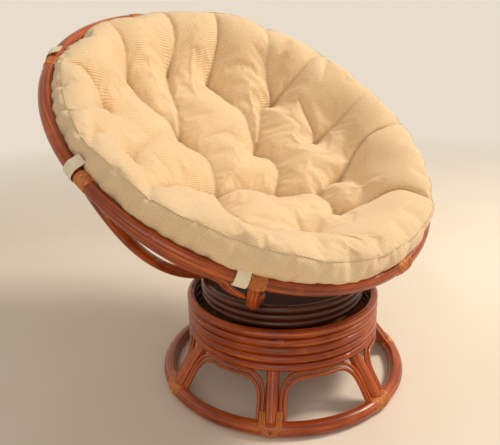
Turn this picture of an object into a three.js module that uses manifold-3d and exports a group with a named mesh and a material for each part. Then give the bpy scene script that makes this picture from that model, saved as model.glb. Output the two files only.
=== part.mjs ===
// A swivel-rocker papasan chair of stained rattan: a floor ring, legs and a drum of stacked hoops
// carry a turntable, and a smaller drum with eight ribs and a big tilted rim rocks on top of it.
// Millimetres, +Z up, the seat opens towards -Y, the origin is on the floor below the chair's middle.
import * as THREE from "three";
import { mergeVertices } from "three/addons/utils/BufferGeometryUtils.js";
import Module from "manifold-3d";

const wasm = await Module();
wasm.setup();

// Fits
const SEAT_GAP = 0.3; // between two pieces that touch
const PIN_GAP = 0.4; // round the rocker pin
const STRAP_GAP = 0.8; // between a tie strap and the rim

// Outer drum, fixed to the legs
const OUTER_RADIUS = 257.5;
const OUTER_CANE = 22.6;
const OUTER_HOOPS = 5;
const DRUM_UNDERSIDE = 132;

// Floor ring and legs
const RING_SPREAD = 72.5; // from the drum's hoops out to the floor ring
const RING_POLE = 36;
const LEG_POLE = 34;
const LEG_INSET = 25.5; // from the drum's hoops in to the middle of a leg's top
const LEG_RISE = 18; // of a leg above the drum's underside
const RING_RADIUS = OUTER_RADIUS + RING_SPREAD;
const LEG_TOP_RADIUS = OUTER_RADIUS - LEG_INSET;
const LEG_TOP_HEIGHT = DRUM_UNDERSIDE + LEG_RISE;
// Share of a full turn from the front to each leg, as spaced by hand on this chair
const LEG_TURN_SHARES = [0.008, 0.161, 0.344, 0.528, 0.711, 0.86];

// Arch reeds between the legs
const ARCH_REED = 10;
const ARCH_BEND = 45;

// Peel bindings at the feet
const BINDING_MARGIN = 3.5; // of peel beyond what stands in a binding
const BINDING_WALL = 2.6;
const BINDING_FLOOR_LIFT = 0.8;
const FOOT_BINDING_LENGTH = LEG_POLE + 2 * (ARCH_REED + BINDING_MARGIN);

// Inner drum, carried by the rocker
const INNER_CANE = 20;
const INNER_HOOPS = 3;
const DRUM_AIR = 18.2; // all round between the drums, for the seat to rock in
const INNER_LIFT = 98; // from the outer drum's underside to the inner drum's
const BOARD_THICKNESS = 18;
const INNER_RADIUS = OUTER_RADIUS - (OUTER_CANE + INNER_CANE) / 2 - DRUM_AIR;
const INNER_UNDERSIDE = DRUM_UNDERSIDE + INNER_LIFT;

// Rim and bowl
const RIM_RADIUS = 536;
const RIM_POLE = 33;
const RIM_TILT_DEG = 34;
const RIM_CENTRE_BACK = 110;
const BOWL_CLEARANCE = 71.9; // from the inner drum up to the cushion's lowest point

// Ribs from the rim to the inner drum
const RIBS = 8;
const RIB_POLE = 29;
const RIB_TURN_SHARE = 8 / 360; // share of a turn from the rim's lowest point to the first rib
const RIB_LEAN_DEG = 40; // how far round a side rib sweeps towards the back
const RIB_END_INSET = 22; // how far a rib runs in past the middle of the hoop it lies on
const RIB_SPRING_SHARE = 0.34; // share of a rib's span that it leaves the drum level

// Arch reeds in every bay of the bowl but the front one
const BAY_REED = 10;
const BAY_ARCHES = RIBS - 1;
const BAY_BEND = 26;
const BAY_STAND = 56; // along the rim from a rib's middle to the reed as it bends down
const BAY_LEG = 95; // how far down the rib the reed reaches

// Peel bindings and cushion ties on the rim
const RIM_BINDING_LENGTH = RIB_POLE + 2 * BINDING_MARGIN;
const SPLICE_BINDING_LENGTH = 64;
const STRAP_WIDTH = 30;
const STRAP_WALL = 3;
const STRAP_CLEARANCE = 2.2; // along the rim between a binding and the strap beside it
const STRAP_TAIL = 34; // from the rim's inner side to where the strap is sewn under the cushion
const STRAPPED_RIBS = [1, 2, 3, 5, 6, 7];

// Cushion
const CUSHION_INSET = 8; // from the middle of the rim's pole in to the cushion's edge
const CUSHION_RADIUS = RIM_RADIUS - CUSHION_INSET;
const CUSHION_SHIFT = 14; // sideways off the rim's centre
const CUSHION_CREST = 60; // height of the top's rim roll above the rim plane
const CUSHION_SWELL = 34; // how much higher the roll stands at its fullest place
const SWELL_TURN_SHARE = 130 / 360; // share of a turn from the front to that place
const SWELL_WIDTH_SHARE = 45 / 360;
const CUSHION_HOLLOW = 160; // depth of the top's middle below the rim plane
const CUSHION_BELLY = 262; // depth of the underside's middle below the rim plane
const CUSHION_FRONT_RISE = 22; // the front roll stands this much prouder than the sides
const CUSHION_BROW_DROP = 8; // from the roll down to the edge of the side wall
const CUSHION_WALL_BULGE = 16;
const CUSHION_FOOT = 8; // depth below the rim plane at which the wall meets the underside
const CUSHION_FOOT_SINK = 3; // how far the rim presses into that corner
const OUTER_TUFTS = 11;
const OUTER_TUFT_SHARE = 0.625; // of the cushion's radius
const OUTER_TUFT_TURN_SHARE = 23 / 360;
const INNER_TUFTS = 4;
const INNER_TUFT_SHARE = 0.284;
const INNER_TUFT_TURN_SHARE = 30 / 360;
const TUFT_DEPTH = 34;
const TUFT_WIDTH = 58;
const CHANNEL_DEPTH = 20;
const CHANNEL_WIDTH = 26;

// Swivel and rocker, sheet steel
const PLATE = 3;
const SWIVEL_PLATE_SIDE = 170;
const RACE_RADIUS = 58;
const RACE_WIDTH = 12;
const RACE_HEIGHT = 7;
const TURNTABLE_SIDE = 160;
const EAR_LENGTH = 56;
const EAR_SPACING = 116;
const EAR_ABOVE_PIN = 12;
const PIN_LIFT = 23.1; // above the turntable
const PIN_DIAMETER = 12;
const PIN_OVERHANG = 5;
const SADDLE_SIDE = 180;
const SPRING_REACH = 62; // from the rocker pin to each spring, front and back
const SPRING_RADIUS = 14;
const SPRING_WIRE = 5;
const SPRING_TURNS = 4;

// Facets
const RING_STEPS = 48;
const RING_SIDES = 10;
const HOOP_STEPS = 36;
const HOOP_SIDES = 8;
const RIM_STEPS = 60;
const RIM_SIDES = 10;
const GROOVE_SIDES = 6;
const GROOVE_STEPS = 48;
const REED_SIDES = 6;
const ARCH_STEPS = 14;
const BAY_STEPS = 12;
const LEG_SIDES = 10;
const RIB_SIDES = 8;
const RIB_STEPS = 8;
const BEND_POINTS = 4;
const LOOP_SIDES = 8;
const PIN_SIDES = 16;
const COIL_STEPS = 8;
const COIL_SIDES = 5;
const COLUMNS_PER_TUFT = 3;
const WRAP_STEPS = 2;

const radians = THREE.MathUtils.degToRad;
const turn = (share) => share * 2 * Math.PI;
const RIM_TILT = radians(RIM_TILT_DEG);
const ringCorner = RING_POLE / 2 / Math.cos(Math.PI / RING_SIDES);
const rimCorner = RIM_POLE / 2 / Math.cos(Math.PI / RIM_SIDES);

// Materials
const finish = (color, roughness, metalness = 0) =>
  new THREE.MeshStandardMaterial({ color, roughness, metalness });
const stainedCane = () => finish(0x8a3a1c, 0.38);
const darkCane = () => finish(0x4a2216, 0.42);
const peel = () => finish(0xc0702c, 0.5);
const plywood = () => finish(0x9a744c, 0.7);
const steel = () => finish(0x5c5e60, 0.45, 0.8);
const springSteel = () => finish(0x7d7f82, 0.35, 0.9);
const cloth = () => finish(0xe6cfa8, 0.95);

function named(name, geometry, material) {
  const mesh = new THREE.Mesh(geometry, material);
  mesh.name = name;
  return mesh;
}

// Solids for cutting and joining
function solid(geometry) {
  const bare = geometry.index ? geometry.toNonIndexed() : geometry.clone();
  bare.deleteAttribute("normal");
  bare.deleteAttribute("uv");
  const merged = mergeVertices(bare, 1e-3);
  return new wasm.Manifold(
    new wasm.Mesh({
      numProp: 3,
      vertProperties: merged.attributes.position.array,
      triVerts: new Uint32Array(merged.index.array),
    }),
  );
}

function geometryOf(body) {
  const mesh = body.getMesh();
  const geometry = new THREE.BufferGeometry();
  geometry.setAttribute("position", new THREE.BufferAttribute(mesh.vertProperties, 3));
  geometry.setIndex(new THREE.BufferAttribute(mesh.triVerts, 1));
  return geometry;
}

const cut = (geometry, ...tools) =>
  geometryOf(tools.reduce((body, tool) => body.subtract(solid(tool)), solid(geometry)));

// Shapes
function polygon(radius, sides) {
  const points = [];
  for (let k = 0; k < sides; k++) {
    const a = ((k + 0.5) / sides) * 2 * Math.PI;
    points.push(new THREE.Vector2(radius * Math.cos(a), radius * Math.sin(a)));
  }
  return new THREE.Shape(points);
}

// A hoop of bent cane about the Z axis, with flats of its section on top and below
function hoop(radius, pole, sides, steps) {
  const corner = pole / 2 / Math.cos(Math.PI / sides);
  const profile = [];
  for (let k = 0; k <= sides; k++) {
    const a = Math.PI / 2 + ((k % sides) + 0.5) * ((2 * Math.PI) / sides);
    profile.push(new THREE.Vector2(radius + corner * Math.cos(a), corner * Math.sin(a)));
  }
  return new THREE.LatheGeometry(profile, steps).rotateX(Math.PI / 2);
}

function tube(points, diameter, sides, steps) {
  const path = new THREE.CatmullRomCurve3(points, false, "centripetal");
  return new THREE.ExtrudeGeometry(polygon(diameter / 2, sides), {
    steps,
    extrudePath: path,
  });
}

const plate = (width, depth, height) => new THREE.BoxGeometry(width, depth, height);

function disc(radius, thickness, steps) {
  return new THREE.CylinderGeometry(radius, radius, thickness, steps).rotateX(Math.PI / 2);
}

const polar = (radius, angle, height) =>
  new THREE.Vector3(radius * Math.sin(angle), -radius * Math.cos(angle), height);

// Floor ring and legs
const ringHeight = RING_POLE / 2;
const ringSolid = (extra) =>
  hoop(RING_RADIUS, RING_POLE + extra, RING_SIDES, RING_STEPS).translate(0, 0, ringHeight);

function outerHoop(k, extra) {
  const height = DRUM_UNDERSIDE + OUTER_CANE / 2 + k * (OUTER_CANE + SEAT_GAP);
  return hoop(OUTER_RADIUS, OUTER_CANE + extra, HOOP_SIDES, HOOP_STEPS).translate(0, 0, height);
}

// A straight leg leans in from the ring and is notched round the lowest hoop
function legPoints(angle) {
  const foot = polar(RING_RADIUS, angle, ringHeight);
  const top = polar(LEG_TOP_RADIUS, angle, LEG_TOP_HEIGHT);
  return [foot, top.clone().add(top.clone().sub(foot).setLength(LEG_POLE))];
}

const legSolid = (angle, extra) => tube(legPoints(angle), LEG_POLE + extra, LEG_SIDES, 1);

function leg(angle) {
  const above = plate(2 * RING_RADIUS, 2 * RING_RADIUS, LEG_TOP_HEIGHT);
  above.translate(0, 0, LEG_TOP_HEIGHT + LEG_TOP_HEIGHT / 2);
  const hoops = [outerHoop(0, 2 * SEAT_GAP), outerHoop(1, 2 * SEAT_GAP)];
  return cut(legSolid(angle, 0), ringSolid(2 * SEAT_GAP), above, ...hoops);
}

// An arch reed stands on the ring beside one leg, bends over under the drum and comes down beside
// the next leg
function archPoints(from, to) {
  const low = ringHeight;
  const high = DRUM_UNDERSIDE - SEAT_GAP - ARCH_REED / 2;
  const beside = LEG_POLE / 2 + SEAT_GAP + ARCH_REED / 2;
  const radiusAt = (z) => RING_RADIUS + ((OUTER_RADIUS - RING_RADIUS) * (z - low)) / (high - low);
  const half = [[beside, low]];
  half.push([beside, (low + high - ARCH_BEND) / 2]);
  for (let k = 0; k <= BEND_POINTS; k++) {
    const a = (k / BEND_POINTS) * (Math.PI / 2);
    half.push([beside + ARCH_BEND * (1 - Math.cos(a)), high - ARCH_BEND * (1 - Math.sin(a))]);
  }
  const span = ((to - from) / 2) * OUTER_RADIUS;
  for (let k = 1; k <= 2; k++) {
    const start = beside + ARCH_BEND;
    half.push([start + ((span - start) * k) / 2, high]);
  }
  const up = half.map(([w, z]) => polar(radiusAt(z), from + w / radiusAt(z), z));
  const down = half.slice(0, -1).map(([w, z]) => polar(radiusAt(z), to - w / radiusAt(z), z));
  return [...up, ...down.reverse()];
}

const archSolid = (from, to, extra) =>
  tube(archPoints(from, to), ARCH_REED + extra, REED_SIDES, ARCH_STEPS);

// A short wrap of peel round the ring, with the leg and the two reeds standing in it
function footBinding(angle, before, after) {
  const points = [];
  const half = FOOT_BINDING_LENGTH / 2 / RING_RADIUS;
  for (let k = -1; k <= 1; k++) points.push(polar(RING_RADIUS, angle + k * half, ringHeight));
  const wrap = tube(points, 2 * (ringCorner + BINDING_WALL), RING_SIDES, WRAP_STEPS);
  const floor = plate(4 * RING_RADIUS, 4 * RING_RADIUS, RING_POLE);
  floor.translate(0, 0, BINDING_FLOOR_LIFT - RING_POLE / 2);
  return cut(wrap, ringSolid(2 * SEAT_GAP), legSolid(angle, 2 * SEAT_GAP), before, after, floor);
}

function legRing() {
  const group = new THREE.Group();
  group.add(named("floor_ring", ringSolid(0), stainedCane()));
  const angles = LEG_TURN_SHARES.map(turn);
  const ring = ringSolid(2 * SEAT_GAP);
  angles.forEach((angle, k) => {
    const next = k + 1 < angles.length ? angles[k + 1] : angles[0] + turn(1);
    const last = k > 0 ? angles[k - 1] : angles[angles.length - 1] - turn(1);
    group.add(named(`leg_${k + 1}`, leg(angle), stainedCane()));
    group.add(named(`arch_reed_${k + 1}`, cut(archSolid(angle, next, 0), ring), stainedCane()));
    const wrap = footBinding(
      angle,
      archSolid(last, angle, 2 * SEAT_GAP),
      archSolid(angle, next, 2 * SEAT_GAP),
    );
    group.add(named(`foot_binding_${k + 1}`, wrap, peel()));
  });
  return group;
}

// Drums
const boardRadius = (radius, cane) =>
  radius - cane / 2 - SEAT_GAP / Math.cos(Math.PI / HOOP_STEPS);

function stack(name, count, radius, cane, underside, material) {
  const group = new THREE.Group();
  for (let k = 0; k < count; k++) {
    const ring = named(`${name}_${k + 1}`, hoop(radius, cane, HOOP_SIDES, HOOP_STEPS), material());
    ring.position.z = underside + cane / 2 + k * (cane + SEAT_GAP);
    group.add(ring);
  }
  return group;
}

// Swivel: a board between the legs, a plate with a ball race, and the turntable on it
const baseBoardTop = LEG_TOP_HEIGHT + SEAT_GAP + BOARD_THICKNESS;
const swivelPlateTop = baseBoardTop + SEAT_GAP + PLATE;
const turntableTop = swivelPlateTop + RACE_HEIGHT + SEAT_GAP + PLATE;
const pinHeight = turntableTop + PIN_LIFT;

function baseBoard() {
  const radius = boardRadius(OUTER_RADIUS, OUTER_CANE);
  const board = named("base_board", disc(radius, BOARD_THICKNESS, HOOP_STEPS), plywood());
  board.position.z = baseBoardTop - BOARD_THICKNESS / 2;
  return board;
}

function swivelPlate() {
  const flat = solid(plate(SWIVEL_PLATE_SIDE, SWIVEL_PLATE_SIDE, PLATE));
  const race = [
    [RACE_RADIUS - RACE_WIDTH / 2, -PLATE / 2],
    [RACE_RADIUS + RACE_WIDTH / 2, -PLATE / 2],
    [RACE_RADIUS + RACE_WIDTH / 2, PLATE / 2 + RACE_HEIGHT],
    [RACE_RADIUS - RACE_WIDTH / 2, PLATE / 2 + RACE_HEIGHT],
    [RACE_RADIUS - RACE_WIDTH / 2, -PLATE / 2],
  ].map(([x, y]) => new THREE.Vector2(x, y));
  const ring = solid(new THREE.LatheGeometry(race, 2 * PIN_SIDES).rotateX(Math.PI / 2));
  const mesh = named("swivel_plate", geometryOf(flat.add(ring)), steel());
  mesh.position.z = swivelPlateTop - PLATE / 2;
  return mesh;
}

// A flat plate with two upright ears, bored for the rocker pin
function earedPlate(side, spacing, plateMiddle, earFar, bore) {
  const low = Math.min(plateMiddle, earFar);
  const high = Math.max(plateMiddle, earFar);
  let body = solid(plate(side, side, PLATE).translate(0, 0, plateMiddle));
  for (const x of [-spacing / 2, spacing / 2]) {
    const ear = plate(PLATE, EAR_LENGTH, high - low).translate(x, 0, (low + high) / 2);
    body = body.add(solid(ear));
  }
  const hole = new THREE.CylinderGeometry(bore / 2, bore / 2, 2 * side, PIN_SIDES);
  return geometryOf(body.subtract(solid(hole.rotateZ(Math.PI / 2).translate(0, 0, pinHeight))));
}

function turntable() {
  const middle = turntableTop - PLATE / 2;
  const bore = PIN_DIAMETER + 2 * SEAT_GAP;
  const shape = earedPlate(TURNTABLE_SIDE, EAR_SPACING, middle, pinHeight + EAR_ABOVE_PIN, bore);
  return named("turntable", shape, steel());
}

function rockerPin() {
  const length = EAR_SPACING + PLATE + 2 * PIN_OVERHANG;
  const rod = new THREE.CylinderGeometry(PIN_DIAMETER / 2, PIN_DIAMETER / 2, length, PIN_SIDES);
  const pin = named("rocker_pin", rod.rotateZ(Math.PI / 2), springSteel());
  pin.position.z = pinHeight;
  return pin;
}

// Coil springs stand on the turntable, in front of and behind the pin, and bear on the saddle
const seatBoardMiddle = INNER_UNDERSIDE + INNER_CANE / 2 + (INNER_CANE + SEAT_GAP);
const saddleTop = seatBoardMiddle - BOARD_THICKNESS / 2 - SEAT_GAP;
const springFoot = turntableTop + SEAT_GAP;
const springHead = saddleTop - PLATE - SEAT_GAP;

function leastGap(points, wire) {
  let least = Infinity;
  for (let i = 0; i < points.length; i++) {
    for (let j = i + COIL_STEPS / 2; j < points.length; j++) {
      least = Math.min(least, points[i].distanceTo(points[j]) - wire);
    }
  }
  return least;
}

function coilSpring(name, y) {
  const lift = SPRING_WIRE / 2;
  const rise = springHead - springFoot - 2 * lift;
  const points = [];
  const count = SPRING_TURNS * COIL_STEPS;
  for (let k = 0; k <= count; k++) {
    const a = (k / COIL_STEPS) * 2 * Math.PI;
    const z = lift + (rise * k) / count;
    points.push(new THREE.Vector3(SPRING_RADIUS * Math.cos(a), SPRING_RADIUS * Math.sin(a), z));
  }
  console.log(`${name}: least gap between its turns ${leastGap(points, SPRING_WIRE).toFixed(2)} mm`);
  const mesh = named(name, tube(points, SPRING_WIRE, COIL_SIDES, count), springSteel());
  mesh.position.set(0, y, springFoot);
  return mesh;
}

function rockerSaddle() {
  const spacing = EAR_SPACING - 2 * (PLATE + PIN_GAP);
  const bore = PIN_DIAMETER + 2 * PIN_GAP;
  const middle = saddleTop - PLATE / 2;
  const shape = earedPlate(SADDLE_SIDE, spacing, middle, pinHeight - EAR_ABOVE_PIN, bore);
  return named("rocker_saddle", shape, steel());
}

function seatBoard() {
  const radius = boardRadius(INNER_RADIUS, INNER_CANE);
  const board = named("seat_board", disc(radius, BOARD_THICKNESS, HOOP_STEPS), plywood());
  board.position.z = seatBoardMiddle;
  return board;
}

const innerTop = INNER_UNDERSIDE + INNER_HOOPS * INNER_CANE + (INNER_HOOPS - 1) * SEAT_GAP;

// How far the tilted cushion's underside, a shallow bowl, reaches below the rim's middle
function bellyReach() {
  const share = (CUSHION_RADIUS * Math.tan(RIM_TILT)) / (2 * CUSHION_BELLY);
  const depth = CUSHION_BELLY * (1 - share ** 2);
  return share * CUSHION_RADIUS * Math.sin(RIM_TILT) + depth * Math.cos(RIM_TILT);
}

// The bowl, in its own frame: the rim lies in the XY plane and Z points out of the seat
const bowl = new THREE.Group();
bowl.rotation.x = RIM_TILT;
bowl.position.set(0, RIM_CENTRE_BACK, innerTop + BOWL_CLEARANCE + bellyReach());
bowl.updateMatrix();
const intoBowl = bowl.matrix.clone().invert();

// A rib springs level from the top of the inner drum and bends up to the rim
const ribAngle = (k) => turn(RIB_TURN_SHARE + (k > RIBS / 2 ? k - RIBS : k) / RIBS);

function ribPoints(k) {
  const angle = ribAngle(k);
  const head = polar(RIM_RADIUS, angle, 0);
  const landing = angle + radians(RIB_LEAN_DEG) * Math.sin(angle);
  const height = innerTop + SEAT_GAP + RIB_POLE / 2;
  const inner = polar(INNER_RADIUS - RIB_END_INSET, landing, height).applyMatrix4(intoBowl);
  const foot = polar(INNER_RADIUS, landing, height).applyMatrix4(intoBowl);
  const level = foot.clone().sub(inner).normalize();
  const spring = foot.clone().addScaledVector(level, RIB_SPRING_SHARE * foot.distanceTo(head));
  const bend = new THREE.QuadraticBezierCurve3(foot, spring, head);
  return [inner, ...bend.getPoints(RIB_STEPS)];
}

const ribSolid = (k, extra) => tube(ribPoints(k), RIB_POLE + extra, RIB_SIDES, RIB_STEPS);

// Turns a distance along the rim from a rib and a depth below the rim into a place: under the rim
// at no depth, and against the rib's side at the reed's full depth
function besideRib(rib, side) {
  const line = new THREE.CatmullRomCurve3(ribPoints(rib).reverse(), false, "centripetal");
  const length = line.getLength();
  const drop = (RIM_POLE + BAY_REED) / 2 + SEAT_GAP;
  const sideways = polar(side, ribAngle(rib) + turn(1 / 4), 0);
  return ([w, depth]) => {
    const on = line.getPointAt(depth / length);
    const heading = line.getTangentAt(depth / length);
    const below = polar(RIM_RADIUS, ribAngle(rib) + (side * w) / RIM_RADIUS, -drop);
    below.add(on).sub(line.getPointAt(0));
    const away = sideways.clone().addScaledVector(heading, -heading.dot(sideways)).setLength(w);
    return below.lerp(on.clone().add(away), depth / BAY_LEG);
  };
}

// An arch reed comes up beside one rib, bends over under the rim and goes down the next one
function bayPoints(k) {
  const beside = RIB_POLE / 2 + SEAT_GAP + BAY_REED / 2;
  const half = [
    [beside, BAY_LEG],
    [(beside + BAY_STAND) / 2, (BAY_LEG + BAY_BEND) / 2],
  ];
  for (let step = 0; step <= BEND_POINTS; step++) {
    const a = (step / BEND_POINTS) * (Math.PI / 2);
    half.push([BAY_STAND + BAY_BEND * (1 - Math.cos(a)), BAY_BEND * (1 - Math.sin(a))]);
  }
  const span = turn(1 / RIBS / 2);
  const near = (BAY_STAND + BAY_BEND) / RIM_RADIUS;
  for (let step = 1; step <= 2; step++) {
    half.push([(near + ((span - near) * step) / 2) * RIM_RADIUS, 0]);
  }
  const up = half.map(besideRib(k, 1));
  const down = half.slice(0, -1).map(besideRib((k + 1) % RIBS, -1));
  return [...up, ...down.reverse()];
}

const baySolid = (k, extra) => tube(bayPoints(k), BAY_REED + extra, REED_SIDES, BAY_STEPS);

// How far a straight length on the rim stands off its arc, the rim's own facets included
const rimSag = (length) =>
  (length * length) / (8 * RIM_RADIUS) + RIM_RADIUS * (1 - Math.cos(Math.PI / RIM_STEPS));

const loopInside = (length, gap) =>
  (rimCorner + gap + rimSag(length) / 2) / Math.cos(Math.PI / LOOP_SIDES);

function alongRim(shape, angle, length) {
  const bar = new THREE.ExtrudeGeometry(shape, { depth: length, bevelEnabled: false });
  bar.translate(0, 0, -length / 2).rotateX(Math.PI / 2);
  return bar.translate(RIM_RADIUS - rimSag(length) / 2, 0, 0).rotateZ(angle - Math.PI / 2);
}

function rimLoop(angle, length, wall, gap) {
  const inside = loopInside(length, gap);
  const shape = polygon(inside + wall, LOOP_SIDES);
  shape.holes.push(new THREE.Path(polygon(inside, LOOP_SIDES).getPoints()));
  return alongRim(shape, angle, length);
}

const bindingLength = (k) => (k === 0 ? SPLICE_BINDING_LENGTH : RIM_BINDING_LENGTH);
const strapOffset = (RIM_BINDING_LENGTH + STRAP_WIDTH) / 2 + STRAP_CLEARANCE;

// How far the bindings reach out from the rim's middle, with a little air
const bindingInside = loopInside(SPLICE_BINDING_LENGTH, SEAT_GAP);
const bindingReach = rimSag(SPLICE_BINDING_LENGTH) / 2 + bindingInside + BINDING_WALL + SEAT_GAP;

// Cushion: a round tufted pad that hangs in the rim, highest at its front roll
function tufts() {
  const list = [];
  const rings = [
    [OUTER_TUFTS, OUTER_TUFT_SHARE, OUTER_TUFT_TURN_SHARE],
    [INNER_TUFTS, INNER_TUFT_SHARE, INNER_TUFT_TURN_SHARE],
  ];
  for (const [count, share, start] of rings) {
    const radius = share * CUSHION_RADIUS;
    for (let k = 0; k < count; k++) list.push(polar(radius, turn(start + k / count), 0));
  }
  return list;
}

const swellAngle = turn(SWELL_TURN_SHARE);

function cushionTop(point, radius, angle, pins) {
  const share = Math.min(radius / CUSHION_RADIUS, 1);
  const swellOff = Math.atan2(Math.sin(angle - swellAngle), Math.cos(angle - swellAngle));
  const swell = CUSHION_SWELL * Math.exp(-((swellOff / turn(SWELL_WIDTH_SHARE)) ** 2));
  const crest = CUSHION_CREST + CUSHION_FRONT_RISE * Math.cos(angle) + swell;
  let dent = 0;
  for (const pin of pins) {
    const away = Math.hypot(point.x - pin.x, point.y - pin.y);
    dent = Math.max(dent, TUFT_DEPTH * Math.exp(-((away / TUFT_WIDTH) ** 2)));
  }
  const pitch = turn(1 / OUTER_TUFTS);
  const off = (((angle - turn(OUTER_TUFT_TURN_SHARE)) % pitch) + pitch) % pitch;
  const aside = Math.min(off, pitch - off) * radius;
  const along = THREE.MathUtils.smoothstep(share, OUTER_TUFT_SHARE / 2, OUTER_TUFT_SHARE);
  const channel = CHANNEL_DEPTH * along * Math.exp(-((aside / CHANNEL_WIDTH) ** 2));
  return -CUSHION_HOLLOW + (crest + CUSHION_HOLLOW) * share ** 2 - Math.max(dent, channel);
}

function cushionRings(angle, pins) {
  const shares = [0.14, INNER_TUFT_SHARE, 0.4, 0.52];
  shares.push(OUTER_TUFT_SHARE, 0.76, 0.9);
  const ring = shares.map((share) => {
    const radius = share * CUSHION_RADIUS;
    const point = polar(radius, angle, 0);
    return [radius, cushionTop(point, radius, angle, pins), CUSHION_SHIFT];
  });
  const edge = polar(CUSHION_RADIUS, angle, 0);
  const brow = cushionTop(edge, CUSHION_RADIUS, angle, pins);
  ring.push([CUSHION_RADIUS, brow - CUSHION_BROW_DROP, CUSHION_SHIFT]);
  ring.push([CUSHION_RADIUS + CUSHION_WALL_BULGE, brow / 2, CUSHION_SHIFT]);
  ring.push([RIM_RADIUS - RIM_POLE / 2 + CUSHION_FOOT_SINK, -CUSHION_FOOT, 0]);
  for (const share of [0.88, 0.66, 0.36]) {
    ring.push([share * CUSHION_RADIUS, -CUSHION_BELLY * (1 - share ** 2), 0]);
  }
  return ring;
}

function cushionPad() {
  const pins = tufts();
  const columns = OUTER_TUFTS * COLUMNS_PER_TUFT;
  const positions = [CUSHION_SHIFT, 0, cushionTop(polar(0, 0, 0), 0, 0, pins)];
  const index = [];
  let rows = 0;
  for (let c = 0; c < columns; c++) {
    const angle = turn(OUTER_TUFT_TURN_SHARE + c / columns);
    const ring = cushionRings(angle, pins);
    rows = ring.length;
    for (const [radius, z, shift] of ring) {
      const place = polar(radius, angle, z);
      positions.push(place.x + shift, place.y, place.z);
    }
  }
  const bottom = positions.length / 3;
  positions.push(0, 0, -CUSHION_BELLY);
  const at = (c, r) => 1 + (c % columns) * rows + r;
  for (let c = 0; c < columns; c++) {
    index.push(0, at(c, 0), at(c + 1, 0));
    for (let r = 0; r + 1 < rows; r++) {
      index.push(at(c, r), at(c, r + 1), at(c + 1, r));
      index.push(at(c + 1, r), at(c, r + 1), at(c + 1, r + 1));
    }
    index.push(bottom, at(c + 1, rows - 1), at(c, rows - 1));
  }
  const geometry = new THREE.BufferGeometry();
  geometry.setAttribute("position", new THREE.Float32BufferAttribute(positions, 3));
  geometry.setIndex(index);
  return geometry;
}

// The cushion's cover has tie straps sewn on, each looped round the rim and its reeds
function strap(angle) {
  const loop = solid(rimLoop(angle, STRAP_WIDTH, STRAP_WALL, STRAP_GAP));
  const tail = plate(STRAP_WIDTH, STRAP_TAIL, STRAP_WALL);
  const reach = rimSag(STRAP_WIDTH) / 2 + loopInside(STRAP_WIDTH, STRAP_GAP);
  tail.translate(0, reach + STRAP_TAIL / 2 - RIM_RADIUS, 0);
  return loop.add(solid(tail.rotateZ(angle)));
}

function cushion() {
  const groove = hoop(RIM_RADIUS, 2 * bindingReach, GROOVE_SIDES, GROOVE_STEPS);
  let body = solid(cushionPad()).subtract(solid(groove));
  for (let k = 0; k < RIBS; k++) body = body.subtract(solid(ribSolid(k, 2 * SEAT_GAP)));
  for (let k = 0; k < BAY_ARCHES; k++) body = body.subtract(solid(baySolid(k, 2 * SEAT_GAP)));
  for (const k of STRAPPED_RIBS) {
    const side = Math.sign(ribAngle(k));
    const angle = ribAngle(k) + (side * strapOffset) / RIM_RADIUS;
    body = body.add(strap(angle));
  }
  return named("cushion", geometryOf(body), cloth());
}

function fillBowl() {
  bowl.add(named("rim", hoop(RIM_RADIUS, RIM_POLE, RIM_SIDES, RIM_STEPS), stainedCane()));
  const rimRoom = hoop(RIM_RADIUS, RIM_POLE + 2 * SEAT_GAP, RIM_SIDES, RIM_STEPS);
  for (let k = 0; k < RIBS; k++) {
    bowl.add(named(`rib_${k + 1}`, cut(ribSolid(k, 0), rimRoom), stainedCane()));
    const wrap = rimLoop(ribAngle(k), bindingLength(k), BINDING_WALL, SEAT_GAP);
    bowl.add(named(`rim_binding_${k + 1}`, cut(wrap, ribSolid(k, 2 * SEAT_GAP)), peel()));
  }
  for (let k = 0; k < BAY_ARCHES; k++) {
    bowl.add(named(`bay_reed_${k + 1}`, baySolid(k, 0), stainedCane()));
  }
  bowl.add(cushion());
}

// The chair
const base = new THREE.Group();
base.add(legRing());
base.add(stack("outer_hoop", OUTER_HOOPS, OUTER_RADIUS, OUTER_CANE, DRUM_UNDERSIDE, stainedCane));
base.add(baseBoard(), swivelPlate());

const swivel = new THREE.Group();
swivel.add(turntable(), rockerPin());
swivel.add(coilSpring("spring_front", -SPRING_REACH), coilSpring("spring_back", SPRING_REACH));

const seat = new THREE.Group();
seat.add(rockerSaddle(), seatBoard());
seat.add(stack("inner_hoop", INNER_HOOPS, INNER_RADIUS, INNER_CANE, INNER_UNDERSIDE, darkCane));
fillBowl();
seat.add(bowl);

// The chair stands on the middle of the floor space that it takes up
const chair = new THREE.Group();
chair.add(base, swivel, seat);
const middle = new THREE.Box3().setFromObject(chair, true).getCenter(new THREE.Vector3());
chair.position.set(-middle.x, -middle.y, 0);

export default chair;
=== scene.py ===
"""A swivel-rocker papasan chair of stained rattan with a round tufted cushion.

Metres, +Z up, the seat opens towards -Y. Sections: sizes, helpers, materials, floor ring with
legs and drums, rim with ribs and bay reeds, peel bindings, cushion, straps, boards and metal,
springs, stage with its light, camera.
"""
import math

import bpy
import numpy as np
from mathutils import Matrix, Vector, geometry, noise


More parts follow.
